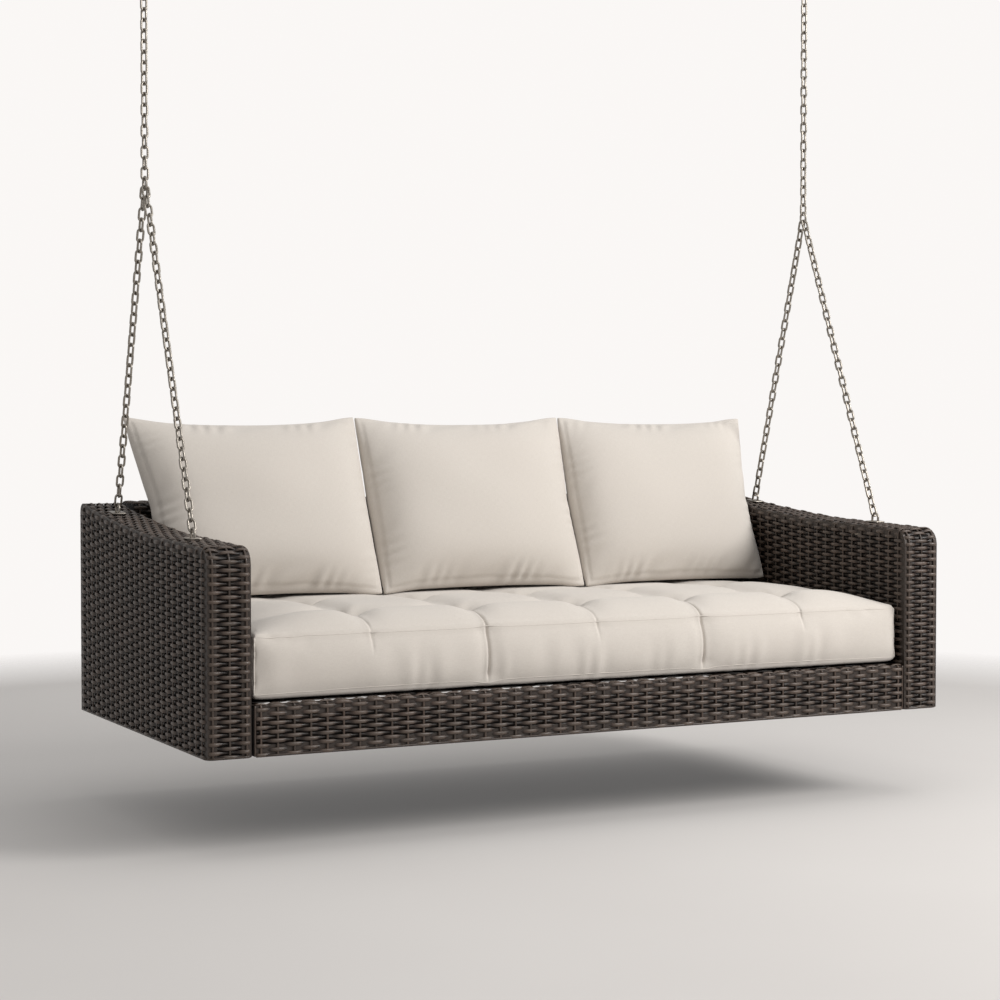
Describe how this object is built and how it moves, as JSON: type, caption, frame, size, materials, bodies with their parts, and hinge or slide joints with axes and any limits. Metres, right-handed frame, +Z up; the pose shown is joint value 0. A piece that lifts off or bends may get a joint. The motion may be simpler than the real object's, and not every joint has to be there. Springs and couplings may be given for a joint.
{
  "type": "porch swing seat",
  "caption": "Hanging woven garden bench with arms, tufted seat cushion and loose back pillows, hung from two ceiling hooks by splayed steel chains.",
  "frame": {"origin": "on the ceiling surface, midway between the two ceiling plates and straight above the line that the swing hangs from", "axes": "+X is the width, towards the arm on the right seen from the front; +Y runs to the back of the seat; +Z is up, along the chains towards the ceiling"},
  "size_m": [1.956, 0.96, 1.9936],
  "materials": {
    "chain_steel": "satin",
    "frame_aluminium": "satin",
    "woven_wicker": "satin",
    "cushion_fabric": "matte"
  },
  "bodies": {
    "ceiling_mounts": {"left_ceiling_plate": "chain_steel", "left_ceiling_hook": "chain_steel", "right_ceiling_plate": "chain_steel", "right_ceiling_hook": "chain_steel"},
    "left_top_link": {"left_top_link": "chain_steel"},
    "left_hanger": {"left_upper_chain": "chain_steel"},
    "left_ring": {"left_junction_ring": "chain_steel"},
    "right_top_link": {"right_top_link": "chain_steel"},
    "right_hanger": {"right_upper_chain": "chain_steel"},
    "right_ring": {"right_junction_ring": "chain_steel"},
    "seat": {"left_front_leg_chain": "chain_steel", "left_front_eye_bolt": "chain_steel", "left_front_eye_plate": "chain_steel", "left_front_backing_bar": "chain_steel", "left_front_nut_fore": "chain_steel", "left_front_nut_aft": "chain_steel", "left_rear_leg_chain": "chain_steel", "left_rear_eye_bolt": "chain_steel", "left_rear_eye_plate": "chain_steel", "left_rear_backing_bar": "chain_steel", "left_rear_nut_fore": "chain_steel", "left_rear_nut_aft": "chain_steel", "left_arm_cover": "woven_wicker", "left_arm_outer_hoop": "frame_aluminium", "left_arm_inner_hoop": "frame_aluminium", "right_front_leg_chain": "chain_steel", "right_front_eye_bolt": "chain_steel", "right_front_eye_plate": "chain_steel", "right_front_backing_bar": "chain_steel", "right_front_nut_fore": "chain_steel", "right_front_nut_aft": "chain_steel", "right_rear_leg_chain": "chain_steel", "right_rear_eye_bolt": "chain_steel", "right_rear_eye_plate": "chain_steel", "right_rear_backing_bar": "chain_steel", "right_rear_nut_fore": "chain_steel", "right_rear_nut_aft": "chain_steel", "right_arm_cover": "woven_wicker", "right_arm_outer_hoop": "frame_aluminium", "right_arm_inner_hoop": "frame_aluminium", "apron_cover": "woven_wicker", "back_cover": "woven_wicker", "seat_deck": "woven_wicker", "base_front_rail": "frame_aluminium", "apron_lower_rail": "frame_aluminium", "base_rear_rail": "frame_aluminium", "base_left_rail": "frame_aluminium", "base_left_cross_rail": "frame_aluminium", "base_middle_cross_rail": "frame_aluminium", "base_right_cross_rail": "frame_aluminium", "base_right_rail": "frame_aluminium", "back_top_rail": "frame_aluminium", "back_lower_rail": "frame_aluminium", "back_left_post": "frame_aluminium", "back_right_post": "frame_aluminium"},
    "seat_cushion": {"seat_cushion": "cushion_fabric"},
    "pillow_left": {"back_pillow_left": "cushion_fabric"},
    "pillow_middle": {"back_pillow_middle": "cushion_fabric"},
    "pillow_right": {"back_pillow_right": "cushion_fabric"}
  },
  "joints": [
    {"name": "left_swing", "type": "hinge", "parent": "ceiling_mounts", "child": "left_top_link", "pos_m": [-0.933, 0, -0.044], "axis": [1, 0, 0], "range_deg": [-20, 20]},
    {"name": "left_sway", "type": "hinge", "parent": "left_top_link", "child": "left_hanger", "pos_m": [-0.933, 0, -0.088], "axis": [0, 1, 0], "range_deg": [-8, 8]},
    {"name": "left_ring_level", "type": "hinge", "parent": "left_hanger", "child": "left_ring", "pos_m": [-0.933, 0, -0.6951], "axis": [0, 1, 0], "range_deg": [-8, 8]},
    {"name": "right_swing", "type": "hinge", "parent": "ceiling_mounts", "child": "right_top_link", "pos_m": [0.933, 0, -0.044], "axis": [1, 0, 0], "range_deg": [-20, 20]},
    {"name": "right_sway", "type": "hinge", "parent": "right_top_link", "child": "right_hanger", "pos_m": [0.933, 0, -0.088], "axis": [0, 1, 0], "range_deg": [-8, 8]},
    {"name": "right_ring_level", "type": "hinge", "parent": "right_hanger", "child": "right_ring", "pos_m": [0.933, 0, -0.6951], "axis": [0, 1, 0], "range_deg": [-8, 8]},
    {"name": "seat_pitch", "type": "hinge", "parent": "left_ring", "child": "seat", "pos_m": [-0.933, 0, -0.7136], "axis": [1, 0, 0], "range_deg": [-10, 10]},
    {"name": "seat_cushion_lift", "type": "slide", "parent": "seat", "child": "seat_cushion", "axis": [0, 0, 1], "range_m": [0, 0.4]},
    {"name": "pillow_left_lift", "type": "slide", "parent": "seat_cushion", "child": "pillow_left", "axis": [0, 0, 1], "range_m": [0, 0.4]},
    {"name": "pillow_middle_lift", "type": "slide", "parent": "seat_cushion", "child": "pillow_middle", "axis": [0, 0, 1], "range_m": [0, 0.4]},
    {"name": "pillow_right_lift", "type": "slide", "parent": "seat_cushion", "child": "pillow_right", "axis": [0, 0, 1], "range_m": [0, 0.4]}
  ],
  "couplings": [
    {"joint": "right_swing", "follows": "left_swing", "ratio": 1},
    {"joint": "right_sway", "follows": "left_sway", "ratio": 1},
    {"joint": "left_ring_level", "follows": "left_sway", "ratio": -1},
    {"joint": "right_ring_level", "follows": "left_sway", "ratio": -1}
  ]
}
